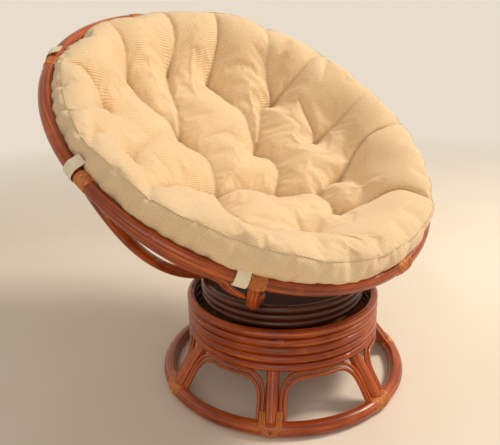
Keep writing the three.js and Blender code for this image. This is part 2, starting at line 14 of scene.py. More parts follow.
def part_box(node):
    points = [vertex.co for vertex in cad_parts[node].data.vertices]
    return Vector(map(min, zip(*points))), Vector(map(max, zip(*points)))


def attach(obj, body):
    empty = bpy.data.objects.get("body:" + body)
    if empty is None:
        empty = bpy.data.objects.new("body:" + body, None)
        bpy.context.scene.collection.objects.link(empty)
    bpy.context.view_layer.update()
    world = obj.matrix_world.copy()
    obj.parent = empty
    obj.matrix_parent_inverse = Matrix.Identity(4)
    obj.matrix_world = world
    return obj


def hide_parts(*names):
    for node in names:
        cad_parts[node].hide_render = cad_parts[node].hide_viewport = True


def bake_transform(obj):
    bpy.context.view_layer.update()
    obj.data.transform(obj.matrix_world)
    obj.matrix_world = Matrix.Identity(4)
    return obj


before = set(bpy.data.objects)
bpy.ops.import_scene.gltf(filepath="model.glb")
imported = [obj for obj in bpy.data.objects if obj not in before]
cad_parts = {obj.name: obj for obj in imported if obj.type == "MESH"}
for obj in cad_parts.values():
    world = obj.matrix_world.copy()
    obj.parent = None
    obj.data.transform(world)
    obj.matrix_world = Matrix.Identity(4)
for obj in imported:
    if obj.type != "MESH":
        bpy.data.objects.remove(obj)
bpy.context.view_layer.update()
MM = 0.001
TURN = 2 * math.pi

# ---------------------------------------------------------------- sizes, in mm
# Those of the frame are the part's own, so that each pole lies where its solid does
GAP = 0.3
OUTER_RADIUS, OUTER_CANE, OUTER_HOOPS, DRUM_UNDERSIDE = 257.5, 22.6, 5, 132
RING_RADIUS, RING_POLE = 330, 36
RING_HEIGHT = RING_POLE / 2
LEG_POLE, LEG_TOP_RADIUS, LEG_TOP_HEIGHT, LEG_FOOT_INSET = 34, 232, 150, 8
LEG_TURN_SHARES = (0.008, 0.161, 0.344, 0.528, 0.711, 0.86)
ARCH_REED, ARCH_BEND = 10, 45
INNER_RADIUS, INNER_CANE, INNER_HOOPS, INNER_UNDERSIDE = 218, 20, 3, 230
RIM_RADIUS, RIM_POLE, RIM_TILT = 536, 33, math.radians(34)
RIM_BACK, RIM_HEIGHT = 110, 680.04
RIBS, RIB_POLE, RIB_TURN_SHARE, RIB_LEAN = 8, 29, 8 / 360, math.radians(40)
RIB_END_INSET, RIB_SPRING_SHARE, RIB_HEAD_INSET = 22, 0.34, 4
BAY_REED, BAY_ARCHES, BAY_BEND, BAY_STAND, BAY_LEG, BAY_TAIL = 10, 7, 26, 56, 95, 12
FOOT_BINDING, RIM_BINDING, SPLICE_BINDING = 61, 36, 64
BINDING_STEP, BINDING_CAP, RIM_WRAP_RADIUS, FOOT_WRAP_RADIUS, FOOT_WRAP_LIFT = 0.5, 1.2, 17.1, 17.8, 1.2
STRAND, STRAND_RISE = 3.0, 1.1
LASH_STRANDS, LASH_STRAND_RADIUS, LASH_PITCH, LASH_CLOSING = 5, 1.25, 3.1, 0.8
LASH_LIFT, LASH_CROSSING_LIFT = 1.0, 0.5
STRAP_WIDTH, STRAP_HALF_THICKNESS, STRAP_OFFSET, STRAPPED_RIBS = 30, 1.1, 35.2, (1, 2, 3, 5, 6, 7)
SPRING_RADIUS, SPRING_WIRE, SPRING_TURNS, SPRING_STEPS = 14, 5, 4, 28

# The cushion, in the bowl's frame
CUSHION_RADIUS, CUSHION_SHIFT = 528, 14
CUSHION_CREST, CUSHION_HOLLOW, CUSHION_BELLY = 60, 160, 262
CUSHION_FRONT_RISE, CUSHION_WALL_BULGE, CUSHION_FOOT, CUSHION_FOOT_INSET = 22, 14, 8, 11.5
# The soft roll along the edge, and the brow where the top turns down to the seam
ROLL_RISE, ROLL_RADIUS, ROLL_WIDTH = 25, 455, 58
BROW_DROP, BROW_RADIUS, BROW_WIDTH = 24, 476, 52
# Where the edge swells up: height in mm, and where and how wide in degrees from the front
SWELLS = ((22, 125, 38), (26, 152, 22), (30, -52, 48))
# Sewing: depth in mm at the start and at the end, the share of it left midway, width in mm
CHANNEL_SEWING, FOLD_SEWING, LOOSE_FOLD_SEWING = (56, 4, 1.0, 24), (56, 56, 0.55, 30), (40, 4, 1.0, 16)
# A pit in the top at each tuft, and a shallow dimple below it, a little nearer the middle
TUFT_PIT, TUFT_WIDTH = 12, 16
DIMPLE, DIMPLE_WIDTH, DIMPLE_REACH = 8, 34, 0.92
SEAM_INSET, SEAM_THREAD = 3, 1.0
TOP_SPACING, QUICK_TOP_SPACING, BELLY_SPACING, CREASE_STEP = 8, 12, 22, 24
TOP_DROP, DRIFT, DRIFT_WIDTH, PUCKER = 4, 5, 70, 6
SIDE_LENGTH, SIDE_MAP_LENGTH = 96, 90
# Painted shade at a fold's bottom: darkest where the fold is deep, and within a few mm of the bottom
SHADE_DEPTH, SHADE_WIDTH = 60, 5
# The sewing holds the cover where it pulls it down by HOLD_FROM and more
HOLD_FROM, HOLD_OVER, HOLD_WITHIN = 20, 14, 500

# The chair's upright axis goes through the middle of the rocker pin
pin_low, pin_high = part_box("rocker_pin")
AXIS = Vector(((pin_low.x + pin_high.x) / 2, (pin_low.y + pin_high.y) / 2, 0))
UPRIGHT = Matrix.Translation(AXIS)
BOWL = (
    UPRIGHT
    @ Matrix.Translation(Vector((0, RIM_BACK, RIM_HEIGHT)) * MM)
    @ Matrix.Rotation(RIM_TILT, 4, "X")
)


# ---------------------------------------------------------------- helpers
def place(matrix, points):
    """Points in mm in a group's own frame, as metres in the shared frame."""
    m = np.array(matrix, float)
    return (np.asarray(points, float) * MM) @ m[:3, :3].T + m[:3, 3]


def polar(radius, angle, height):
    """A point by its distance from the axis, its angle from the front and its height."""
    return np.array([radius * math.sin(angle), -radius * math.cos(angle), height], float)


def curve_through(points, step):
    """A centripetal Catmull-Rom curve through the points, sampled about every step."""
    p = np.asarray(points, float)
    p = np.vstack([2 * p[0] - p[1], p, 2 * p[-1] - p[-2]])
    out = []
    for i in range(1, len(p) - 2):
        a, b, c, d = p[i - 1 : i + 3]
        spans = [np.linalg.norm(y - x) for x, y in ((a, b), (b, c), (c, d))]
        t = np.cumsum([0] + [max(span, 1e-6) ** 0.5 for span in spans])
        count = max(2, round(np.linalg.norm(c - b) / step))
        for s in np.linspace(t[1], t[2], count, endpoint=False):
            ab = (t[1] - s) / (t[1] - t[0]) * a + (s - t[0]) / (t[1] - t[0]) * b
            bc = (t[2] - s) / (t[2] - t[1]) * b + (s - t[1]) / (t[2] - t[1]) * c
            cd = (t[3] - s) / (t[3] - t[2]) * c + (s - t[2]) / (t[3] - t[2]) * d
            abc = (t[2] - s) / (t[2] - t[0]) * ab + (s - t[0]) / (t[2] - t[0]) * bc
            bcd = (t[3] - s) / (t[3] - t[1]) * bc + (s - t[1]) / (t[3] - t[1]) * cd
            out.append((t[2] - s) / (t[2] - t[1]) * abc + (s - t[1]) / (t[2] - t[1]) * bcd)
    out.append(p[-2])
    return np.array(out)


def lengths(line):
    """How far along the line each of its points is."""
    return np.concatenate([[0], np.cumsum(np.linalg.norm(np.diff(line, axis=0), axis=1))])


def headings(line):
    """Unit directions along the line."""
    d = np.gradient(line, axis=0)
    return d / np.linalg.norm(d, axis=1)[:, None]


def with_round_ends(line, cap):
    """Extra places near both ends, so that a rounded end takes no more room than cap."""
    along = lengths(line)
    ends = cap * np.array([0, 0.1, 0.3, 0.6, 1])
    middle = along[(along > 1.3 * cap) & (along < along[-1] - 1.3 * cap)]
    at = np.concatenate([ends, middle, (along[-1] - ends)[::-1]])
    return np.stack([np.interp(at, along, line[:, i]) for i in range(3)], axis=1)


def carried_normals(line, first):
    """Headings along a line, and normals that turn no more than it bends."""
    t = headings(line)
    n = np.zeros_like(line)
    v = np.asarray(first, float)
    for i, h in enumerate(t):
        v = v - v.dot(h) * h
        v = v / np.linalg.norm(v)
        n[i] = v
    return t, n


def mesh_object(name, points, faces, uvs=None, body=None, material=None):
    """A smooth-shaded object; uvs holds one pair for each corner of each face."""
    data = bpy.data.meshes.new(name)
    data.from_pydata([tuple(p) for p in points], [], [tuple(f) for f in faces])
    if uvs is not None:
        layer = data.uv_layers.new(name="along")
        layer.data.foreach_set("uv", np.asarray(uvs, np.float32).ravel())
    data.polygons.foreach_set("use_smooth", [True] * len(data.polygons))
    data.update()
    thing = bpy.data.objects.new(name, data)
    bpy.context.scene.collection.objects.link(thing)
    if material is not None:
        data.materials.append(material)
    if body:
        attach(thing, body)
    return thing


def wrap_grid(rows, columns, closed, start=0):
    """Quads over rows of points that close round, and the row and column of each corner.

    With closed the last row joins the first. Columns always close."""
    faces, corners = [], []
    for i in range(rows if closed else rows - 1):
        for j in range(columns):
            quad = ((i, j), (i, j + 1), (i + 1, j + 1), (i + 1, j))
            faces.append([start + (r % rows) * columns + (c % columns) for r, c in quad])
            corners.append(quad)
    return faces, corners


def seed_of(name):
    """A number that differs from piece to piece, so that no two show the same grain."""
    return sum((i + 1) * ord(c) for i, c in enumerate(name)) % 997


# Metres along the grain between one piece and the next, and between the lengths of one piece
GRAIN_STEP, NEXT_GRAIN = 0.137, 0.71


class Pole:
    """Round lengths of cane, gathered into one mesh: u runs along in metres, v once round."""

    def __init__(self, name):
        self.name, self.points, self.faces, self.uvs = name, [], [], []
        self.offset = seed_of(name) * GRAIN_STEP

    def add(self, line, radius, sides=20, closed=False, first=(0, 0, 1), cap=3.0, matrix=None, ridge=None):
        """A tube on a line in mm, with ends rounded over cap. ridge(u, v) adds to its radius."""
        line = np.asarray(line, float)
        if closed:
            headings_on, normals = self.closed_frame(line, first)
            along = lengths(np.vstack([line, line[:1]]))
        else:
            line = with_round_ends(line, cap)
            headings_on, normals = carried_normals(line, first)
            along = lengths(line)
        across = np.cross(headings_on, normals)
        whole = along[-1]
        along = along[: len(line)]
        keep = np.full(len(line), 1.0)
        if not closed:
            ends = np.minimum(along, whole - along)
            keep = np.sqrt(np.clip(1 - np.clip(1 - ends / cap, 0, 1) ** 2 * 0.96, 0, 1))
        sweeps = []
        for j in range(sides):
            v = j / sides
            r = radius * keep
            if ridge is not None:
                r = r + np.array([ridge(x, v) for x in along]) * keep
            a = v * TURN
            sweeps.append(line + (normals * math.cos(a) + across * math.sin(a)) * r[:, None])
        start = len(self.points)
        faces, corners = wrap_grid(len(line), sides, closed, start)
        us = np.append(along, whole) * MM + self.offset
        for quad in corners:
            self.uvs += [(us[r], k / sides) for r, k in quad]
        self.faces += faces
        if not closed:
            last = len(line) - 1
            end = start + last * sides
            self.faces += [list(range(start + sides - 1, start - 1, -1)), list(range(end, end + sides))]
            for row in (0, last):
                self.uvs += [(us[row], k / sides) for k in range(sides)]
        self.points += list(place(matrix or UPRIGHT, np.stack(sweeps, axis=1).reshape(-1, 3)))
        self.offset += NEXT_GRAIN
        return self

    @staticmethod
    def closed_frame(line, first):
        """Headings and normals on a ring that lies square to first."""
        d = np.roll(line, -1, axis=0) - np.roll(line, 1, axis=0)
        t = d / np.linalg.norm(d, axis=1)[:, None]
        up = np.asarray(first, float)
        n = up - (t @ up)[:, None] * t
        return t, n / np.linalg.norm(n, axis=1)[:, None]

    def finish(self, slot, body, material, *replaced):
        thing = mesh_object(self.name, self.points, self.faces, self.uvs, body, material)
        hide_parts(*replaced)


def circle(radius, height=0.0, step=7.0, start=math.pi):
    """A ring of points about step mm apart."""
    count = round(TURN * radius / step)
    return np.array([polar(radius, start + TURN * k / count, height) for k in range(count)])


# ---------------------------------------------------------------- materials
def linear(*rgb):
    """An opaque colour for a shader from 0..255 as a screen shows it."""
    return tuple(((c / 255 + 0.055) / 1.055) ** 2.4 if c > 10 else c / 255 / 12.92 for c in rgb) + (1.0,)


class Look:
    """A material, built from nodes by short calls."""

    def __init__(self, name, **fixed):
        self.material = bpy.data.materials.new(name)
        self.material.use_nodes = True
        self.tree = self.material.node_tree
        self.shader = self.tree.nodes["Principled BSDF"]
        for key, value in fixed.items():
            self.shader.inputs[key.replace("_", " ")].default_value = value

    def node(self, kind, out=0, settings=None, **inputs):
        """One output of a new node. Inputs go by name with _ for a space, or by place as i_0."""
        made = self.tree.nodes.new("ShaderNode" + kind)
        for key, value in (settings or {}).items():
            setattr(made, key, value)
        for key, value in inputs.items():
            socket = made.inputs[int(key[2:]) if key.startswith("i_") else key.replace("_", " ")]
            if isinstance(value, bpy.types.NodeSocket):
                self.tree.links.new(value, socket)
            else:
                socket.default_value = value
        return made.outputs[out]

    def math(self, operation, a, b=0.0, c=0.0):
        return self.node("Math", settings={"operation": operation}, i_0=a, i_1=b, i_2=c)

    def times(self, a, b):
        return self.math("MULTIPLY", a, b)

    def plus(self, a, b):
        return self.math("ADD", a, b)

    def noise(self, vector, scale, detail=3.0, roughness=0.5):
        return self.node("TexNoise", Vector=vector, Scale=scale, Detail=detail, Roughness=roughness)

    def span(self, value, low, high, to_low=0.0, to_high=1.0):
        """The value moved from low..high to to_low..to_high, and kept there."""
        limits = {"From_Min": low, "From_Max": high, "To_Min": to_low, "To_Max": to_high}
        return self.node("MapRange", Value=value, **limits)

    def ramp(self, value, *stops):
        made = self.tree.nodes.new("ShaderNodeValToRGB")
        self.tree.links.new(value, made.inputs[0])
        band = made.color_ramp.elements
        while len(band) < len(stops):
            band.new(0.5)
        for element, (at, color) in zip(band, stops):
            element.position, element.color = at, color
        return made.outputs[0]

    def mix(self, factor, a, b):
        """Colour a turning into b; a colour Mix node has these at inputs 6 and 7 and output 2."""
        return self.node("Mix", out=2, settings={"data_type": "RGBA"}, i_0=factor, i_6=a, i_7=b)

    def here(self):
        """The place on the object, in metres."""
        return self.node("TexCoord", out=3)

    def pair(self):
        """The two values of the mesh's own map."""
        uv = self.node("UVMap", settings={"uv_map": "along"})
        made = self.tree.nodes.new("ShaderNodeSeparateXYZ")
        self.tree.links.new(uv, made.inputs[0])
        return made.outputs[0], made.outputs[1]

    def vector(self, x, y, z=0.0):
        return self.node("CombineXYZ", X=x, Y=y, Z=z)

    def bump(self, height, distance, strength=1.0, **under):
        """A normal; Normal=... lays it over another one."""
        return self.node("Bump", Height=height, Distance=distance, Strength=strength, **under)

    def to(self, **links):
        for key, value in links.items():
            self.tree.links.new(value, self.shader.inputs[key.replace("_", " ")])
        return self.material


def grain_vector(look, around, along):
    """Streaks that follow the pole and close round it."""
    u, v = look.pair()
    a = look.times(v, TURN)
    x = look.times(look.math("COSINE", a), around)
    y = look.times(look.math("SINE", a), around)
    return look.vector(x, y, look.times(u, along))


def cane(name, dark, middle, light, rough=0.3, node_pitch=0.33):
    """Stained rattan pole: long streaks, soft blotches, a dark ring at each node of the cane."""
    look = Look(name, Roughness=rough, Coat_Weight=0.45, Coat_Roughness=0.14, Specular_IOR_Level=0.25)
    u, _ = look.pair()
    streak = look.noise(grain_vector(look, 2.6, 3.0), 1.0, 6.0, 0.68)
    fibre = look.noise(grain_vector(look, 17.0, 16.0), 1.0, 4.0, 0.6)
    blotch = look.noise(look.here(), 9.0, 3.0, 0.55)
    tone = look.plus(look.times(streak, 0.62), look.times(fibre, 0.16))
    tone = look.plus(tone, look.times(blotch, 0.22))
    color = look.ramp(tone, (0.36, dark), (0.5, middle), (0.63, light))
    wobble = look.times(look.noise(grain_vector(look, 1.2, 9.0), 1.0, 2.0), 0.05)
    from_node = look.math("PINGPONG", look.plus(u, wobble), node_pitch / 2)
    ring = look.span(from_node, 0.0, 0.0022, 1.0, 0.0)
    shoulder = look.span(from_node, 0.0, 0.011, 1.0, 0.0)
    color = look.mix(look.times(shoulder, 0.32), color, light)
    color = look.mix(look.times(ring, 0.6), color, dark)
    height = look.plus(look.times(fibre, 0.5), look.times(shoulder, 1.6))
    height = look.math("SUBTRACT", height, look.times(ring, 1.3))
    roughness = look.span(fibre, 0.3, 0.7, rough - 0.08, rough + 0.12)
    normal = look.bump(height, 0.0007, 0.6)
    return look.to(Base_Color=color, Roughness=roughness, Normal=normal, Coat_Normal=normal)


def peel():
    """Split peel, wound in strands: the mesh has the strands, this gives each its own tone."""
    look = Look("peel", Specular_IOR_Level=0.5, Coat_Weight=0.2, Coat_Roughness=0.3)
    streak = look.noise(grain_vector(look, 1.5, 260.0), 1.0, 3.0, 0.6)
    fibre = look.noise(grain_vector(look, 26.0, 90.0), 1.0, 3.0, 0.6)
    tone = look.plus(look.times(streak, 0.75), look.times(fibre, 0.25))
    stops = ((0.33, linear(134, 66, 20)), (0.5, linear(200, 112, 44)), (0.66, linear(236, 162, 84)))
    color = look.ramp(tone, *stops)
    normal = look.bump(fibre, 0.0005, 0.5)
    return look.to(Base_Color=color, Roughness=look.span(fibre, 0.3, 0.7, 0.36, 0.56), Normal=normal)


def cloth(name, base, shade, wale, depth=0.0011):
    """Chenille cord: fine ribs across v, broken into nubs along u, with a soft sheen.

    The mesh's own value fold, where it has one, paints shade into the bottoms of its folds."""
    look = Look(name, Roughness=0.92, Sheen_Weight=0.35, Sheen_Roughness=0.5, Specular_IOR_Level=0.25)
    u, v = look.pair()

    def patches(along, across, detail, roughness=0.5):
        return look.noise(look.vector(look.times(u, along), look.times(v, across)), 1.0, detail, roughness)

    nub = patches(420.0, 90.0, 2.0, 0.6)
    wander = patches(26.0, 26.0, 2.0)
    phase = look.plus(look.times(v, TURN / wale), look.times(wander, 2.2))
    rib = look.span(look.math("SINE", phase), -1.0, 1.0)
    soft = patches(7.0, 7.0, 4.0, 0.6)
    color = look.mix(look.span(rib, 0.0, 0.8, 0.45, 1.0), shade, base)
    color = look.mix(look.span(nub, 0.42, 0.66, 0.0, 0.3), color, linear(252, 238, 212))
    color = look.mix(look.span(soft, 0.35, 0.7, 0.0, 0.2), color, shade)
    # Painted shade: the value fold colours the bottoms of the folds darker
    fold = look.node("Attribute", out=2, settings={"attribute_name": "fold"})
    color = look.mix(look.times(fold, 0.62), color, linear(132, 88, 50))
    weave = look.bump(look.plus(rib, look.times(nub, 0.7)), depth, 0.7)
    return look.to(Base_Color=color, Normal=look.bump(soft, 0.006, 0.35, Normal=weave))


def board(name, dark, middle, light):
    """Plain plywood: long grain, a few darker bands."""
    look = Look(name, Specular_IOR_Level=0.35)
    grain = look.noise(look.node("Mapping", Vector=look.here(), Scale=(3.0, 46.0, 160.0)), 1.0, 6.0, 0.65)
    color = look.ramp(grain, (0.35, dark), (0.5, middle), (0.66, light))
    rough = look.span(grain, 0.3, 0.7, 0.55, 0.8)
    return look.to(Base_Color=color, Roughness=rough, Normal=look.bump(grain, 0.0006, 0.6))


def metal(name, color, dull, rough, metallic):
    """Grey sheet or spring steel with fine scuffs."""
    look = Look(name, Metallic=metallic, Specular_IOR_Level=0.5)
    scuff = look.noise(look.here(), 95.0, 5.0, 0.7)
    patch = look.noise(look.here(), 14.0, 3.0, 0.5)
    tone = look.mix(look.span(patch, 0.4, 0.7), color, dull)
    tone = look.mix(look.span(scuff, 0.62, 0.75, 0.0, 0.5), tone, linear(150, 148, 144))
    roughness = look.span(scuff, 0.3, 0.7, rough - 0.1, rough + 0.15)
    return look.to(Base_Color=tone, Roughness=roughness, Normal=look.bump(scuff, 0.0003, 0.3))


CANE = cane("stained_cane", linear(70, 24, 4), linear(154, 60, 10), linear(220, 110, 34))
# The seat hoops' cane: the stained cane's colours made darker, painted shade for where they sit under the
# bowl
SHADED_CANE = cane("dark_cane", linear(40, 18, 10), linear(78, 34, 18), linear(112, 58, 34), 0.3)
REED = cane("reed", linear(92, 32, 5), linear(166, 68, 14), linear(220, 118, 40), 0.36, 0.27)
PEEL = peel()
CLOTH = cloth("cushion_cloth", linear(248, 217, 170), linear(218, 180, 132), 0.0048, 0.0013)
WEBBING = cloth("strap_cloth", linear(250, 236, 208), linear(220, 198, 162), 0.0036, 0.0008)
THREAD = cloth("seam_thread", linear(226, 198, 158), linear(200, 172, 134), 0.002, 0.0003)
BOARD = board("plywood", linear(112, 74, 40), linear(158, 116, 72), linear(190, 150, 104))
STAINED_BOARD = board("stained_board", linear(34, 16, 10), linear(58, 30, 18), linear(84, 48, 30))
STEEL = metal("steel", linear(92, 94, 96), linear(66, 68, 70), 0.42, 0.7)
SPRING_STEEL = metal("spring_steel", linear(138, 140, 143), linear(96, 97, 98), 0.32, 0.95)


# ---------------------------------------------------------------- floor ring, legs and drums
def build_base():
    Pole("ring_pole").add(circle(RING_RADIUS, RING_HEIGHT), RING_POLE / 2, 28, closed=True).finish(
        "stained_cane", "base", CANE, "floor_ring"
    )
    for k in range(OUTER_HOOPS):
        z = DRUM_UNDERSIDE + OUTER_CANE / 2 + k * (OUTER_CANE + GAP)
        line = circle(OUTER_RADIUS, z, start=math.pi + 0.5 * k)
        Pole(f"drum_hoop_{k + 1}").add(line, OUTER_CANE / 2, 24, closed=True).finish(
            "stained_cane", "base", CANE, f"outer_hoop_{k + 1}"
        )
    # The seat hoops take the darker cane colours: painted shade from the bowl above them
    for k in range(INNER_HOOPS):
        z = INNER_UNDERSIDE + INNER_CANE / 2 + k * (INNER_CANE + GAP)
        line = circle(INNER_RADIUS, z, start=math.pi + 0.4 * k)
        Pole(f"seat_hoop_{k + 1}").add(line, INNER_CANE / 2, 24, closed=True).finish(
            "dark_cane", "seat", SHADED_CANE, f"inner_hoop_{k + 1}"
        )


def leg_line(angle):
    foot = polar(RING_RADIUS, angle, RING_HEIGHT)
    top = polar(LEG_TOP_RADIUS, angle, LEG_TOP_HEIGHT)
    slope = (top - foot) / np.linalg.norm(top - foot)
    return np.linspace(foot + slope * LEG_FOOT_INSET, top, 24)


def build_legs():
    angles = [TURN * s for s in LEG_TURN_SHARES]
    for k, angle in enumerate(angles):
        outward = polar(1, angle, 0)
        Pole(f"leg_pole_{k + 1}").add(leg_line(angle), LEG_POLE / 2, 24, first=outward).finish(
            "stained_cane", "base", CANE, f"leg_{k + 1}"
        )
        after = angles[k + 1] if k + 1 < len(angles) else angles[0] + TURN
        pole = Pole(f"arch_pair_{k + 1}")
        for nest in range(2):
            pole.add(arch_line(angle, after, nest), ARCH_REED / 2, 14, first=outward)
        pole.finish("stained_cane", "base", REED, f"arch_reed_{k + 1}")


def arch_line(start, end, nest):
    """Up beside one leg, over under the drum, down beside the next; nest 1 lies inside nest 0."""
    low = RING_HEIGHT
    high = DRUM_UNDERSIDE - GAP - ARCH_REED / 2
    inside = nest * (ARCH_REED + GAP)
    beside = LEG_POLE / 2 + GAP + ARCH_REED / 2 + inside
    top, bend = high - inside, ARCH_BEND - inside * 0.4

    def radius_at(z):
        return RING_RADIUS + (OUTER_RADIUS - RING_RADIUS) * (z - low) / (high - low)

    half = [(beside, low), (beside, (low + top - bend) / 2)]
    for a in np.linspace(0, math.pi / 2, 5):
        half.append((beside + bend * (1 - math.cos(a)), top - bend * (1 - math.sin(a))))
    span = (end - start) / 2 * OUTER_RADIUS
    for share in (0.5, 1.0):
        half.append((beside + bend + (span - beside - bend) * share, top))
    up = [polar(radius_at(z), start + w / radius_at(z), z) for w, z in half]
    down = [polar(radius_at(z), end - w / radius_at(z), z) for w, z in half[:-1]]
    return curve_through(up + down[::-1], 5)


# ---------------------------------------------------------------- rim, ribs and bay reeds
def rib_angle(k):
    """Ribs and their bindings go round from the front by +X; angles are negative at -X."""
    return TURN * (RIB_TURN_SHARE + (k - RIBS if k > RIBS / 2 else k) / RIBS)


def into_bowl(point):
    """A point of the upright frame in the bowl's, both in mm."""
    p = (BOWL.inverted() @ UPRIGHT) @ (Vector(point) * MM)
    return np.array(p) / MM


def rib_line(k):
    """From the inner drum's top, first level and then in one bend up to the rim's middle."""
    angle = rib_angle(k)
    head = polar(RIM_RADIUS, angle, 0)
    landing = angle + RIB_LEAN * math.sin(angle)
    top = INNER_UNDERSIDE + INNER_HOOPS * INNER_CANE + (INNER_HOOPS - 1) * GAP
    z = top + GAP + RIB_POLE / 2
    inner = into_bowl(polar(INNER_RADIUS - RIB_END_INSET, landing, z))
    foot = into_bowl(polar(INNER_RADIUS, landing, z))
    level = (foot - inner) / np.linalg.norm(foot - inner)
    spring = foot + level * RIB_SPRING_SHARE * np.linalg.norm(foot - head)
    bend = [(1 - t) ** 2 * foot + 2 * t * (1 - t) * spring + t * t * head for t in np.linspace(0, 1, 61)]
    return np.array([inner + (foot - inner) * t for t in (0, 0.1, 0.3, 0.6)] + bend)


def beside_rib(rib, side):
    """Gives places w mm beside a rib, from under the rim (depth 0) down along the rib."""
    line = rib_line(rib)[::-1]
    along, course = lengths(line), headings(line)
    drop = (RIM_POLE + BAY_REED) / 2 + GAP
    sideways = polar(side, rib_angle(rib) + TURN / 4, 0)

    def at(w, depth):
        on = np.array([np.interp(depth, along, line[:, i]) for i in range(3)])
        heading = np.array([np.interp(depth, along, course[:, i]) for i in range(3)])
        below = polar(RIM_RADIUS, rib_angle(rib) + side * w / RIM_RADIUS, -drop) + on - line[0]
        away = sideways - heading * heading.dot(sideways)
        beside = on + away / np.linalg.norm(away) * w
        return below + (beside - below) * depth / BAY_LEG

    return at


def bay_line(k, nest):
    """Up beside one rib, over under the rim, down beside the next; nest 1 lies inside nest 0."""
    inside = nest * (BAY_REED + GAP)
    beside = RIB_POLE / 2 + GAP + BAY_REED / 2 + inside
    stand = BAY_STAND + inside
    half = [(beside, BAY_LEG + BAY_TAIL), (beside, BAY_LEG)]
    half.append(((beside + stand) / 2, (BAY_LEG + BAY_BEND + inside) / 2))
    for a in np.linspace(0, math.pi / 2, 5):
        half.append((stand + BAY_BEND * (1 - math.cos(a)), inside + BAY_BEND * (1 - math.sin(a))))
    span, near = TURN / RIBS / 2, (stand + BAY_BEND) / RIM_RADIUS
    for share in (0.5, 1.0):
        half.append(((near + (span - near) * share) * RIM_RADIUS, inside))
    rise, fall = beside_rib(k, 1), beside_rib((k + 1) % RIBS, -1)
    up = [rise(w, d) for w, d in half]
    down = [fall(w, d) for w, d in half[:-1]]
    return curve_through(up + down[::-1], 6)


def build_bowl():
    Pole("rim_pole").add(circle(RIM_RADIUS), RIM_POLE / 2, 28, closed=True, matrix=BOWL).finish(
        "stained_cane", "seat", CANE, "rim"
    )
    for k in range(RIBS):
        line = rib_line(k)
        back = line[-2] - line[-1]
        line[-1] += back / np.linalg.norm(back) * RIB_HEAD_INSET
        Pole(f"rib_pole_{k + 1}").add(line, RIB_POLE / 2, 22, matrix=BOWL).finish(
            "stained_cane", "seat", CANE, f"rib_{k + 1}"
        )
    for k in range(BAY_ARCHES):
        pole = Pole(f"bay_pair_{k + 1}")
        for nest in range(2):
            pole.add(bay_line(k, nest), BAY_REED / 2, 14, matrix=BOWL)
        pole.finish("stained_cane", "seat", REED, f"bay_reed_{k + 1}")


# ---------------------------------------------------------------- peel bindings
# The rim's two bindings at the front, whose crossing strands show
LASHED_RIM_BINDINGS = (0, RIBS - 1)
# The front foot's binding is an open V, whose strands start above the ring on the leg
OPEN_FOOT, OPEN_FOOT_LEAD = 5, ((-15, 37), (-5, 29))


def strands(u, v):
    """Rounded backs of strands wound side by side, one pitch on for each turn."""
    return STRAND_RISE * abs(math.cos(math.pi * (u / STRAND + v))) ** 0.7


def lash(pole, radius, pipe, angle, spread, start, end, height=0.0, lead=(), matrix=None):
    """Two arms of strands over a hoop's outer face, wide apart at start and together at end.

    pipe is the hoop's own radius; start and end are angles round it, up from its outer side.
    lead holds places before start, as (mm out from the hoop's middle line, mm up from it)."""
    for side in (-1, 1):
        lift = pipe + LASH_LIFT + (LASH_CROSSING_LIFT if side > 0 else 0.0)
        sweep = np.linspace(start, end, 20)
        places = list(lead) + [(lift * math.cos(a), lift * math.sin(a)) for a in sweep]
        for k in range(LASH_STRANDS):
            line = []
            for step, (out, up) in enumerate(places):
                share = step / (len(places) - 1)
                aside = side * (spread * (1 - LASH_CLOSING * share) - k * LASH_PITCH)
                line.append(polar(radius + out, angle + aside / radius, height + up))
            pole.add(line, LASH_STRAND_RADIUS, 7, cap=0.8, matrix=matrix)


def wound_arc(radius, angle, length, height=0.0):
    """The part of a ring that a binding covers, in steps fine enough for its strands."""
    half = length / 2 / radius
    steps = round(length / BINDING_STEP)
    return [polar(radius, angle + a, height) for a in np.linspace(-half, half, steps)]


def build_bindings():
    for k in range(RIBS):
        angle, length = rib_angle(k), SPLICE_BINDING if k == 0 else RIM_BINDING
        pole = Pole(f"rim_wrap_{k + 1}")
        arc = wound_arc(RIM_RADIUS, angle, length)
        pole.add(arc, RIM_WRAP_RADIUS, 36, cap=BINDING_CAP, matrix=BOWL, ridge=strands)
        if k in LASHED_RIM_BINDINGS:
            pipe, spread = RIM_POLE / 2 + 1, length / 2 - 1
            lash(pole, RIM_RADIUS, pipe, angle, spread, start=1.2, end=-1.3, matrix=BOWL)
        pole.finish("peel", "seat", PEEL, f"rim_binding_{k + 1}")
    for k, share in enumerate(LEG_TURN_SHARES):
        angle = TURN * share
        pole = Pole(f"foot_wrap_{k + 1}")
        if k != OPEN_FOOT:
            arc = wound_arc(RING_RADIUS, angle, FOOT_BINDING, RING_HEIGHT + FOOT_WRAP_LIFT)
            pole.add(arc, FOOT_WRAP_RADIUS, 36, cap=BINDING_CAP, ridge=strands)
        lead = OPEN_FOOT_LEAD if k == OPEN_FOOT else ()
        pipe, spread = RING_POLE / 2, FOOT_BINDING / 2 - 2
        lash(pole, RING_RADIUS, pipe, angle, spread, start=0.95, end=-1.0, height=RING_HEIGHT, lead=lead)
        pole.finish("peel", "base", PEEL, f"foot_binding_{k + 1}")


# ---------------------------------------------------------------- cushion
# Places in the bowl's plane: distance from the middle in mm and degrees from the front.
# A channel runs from a tuft by way of a bend to the edge
CHANNELS = (
    ((319, 30), (423, 38), (528, 33)), ((329, 60), (400, 73), (528, 76)), ((331, 91), (420, 92), (528, 94)),
    ((351, 125), (430, 137), (528, 141)), ((351, 125), (430, 121), (528, 117)),
    ((350, 163), (430, 160), (528, 161)), ((388, 184), (447, 179), (528, 180)),
    ((396, 209), (460, 204), (528, 204)), ((400, 236), (470, 233), (528, 236)),
    ((350, 262), (440, 262), (528, 274)), ((332, 322), (400, 320), (470, 319)),
    ((326, 354), (400, 352), (470, 351)), ((378, 282), (450, 289), (528, 293)),
)
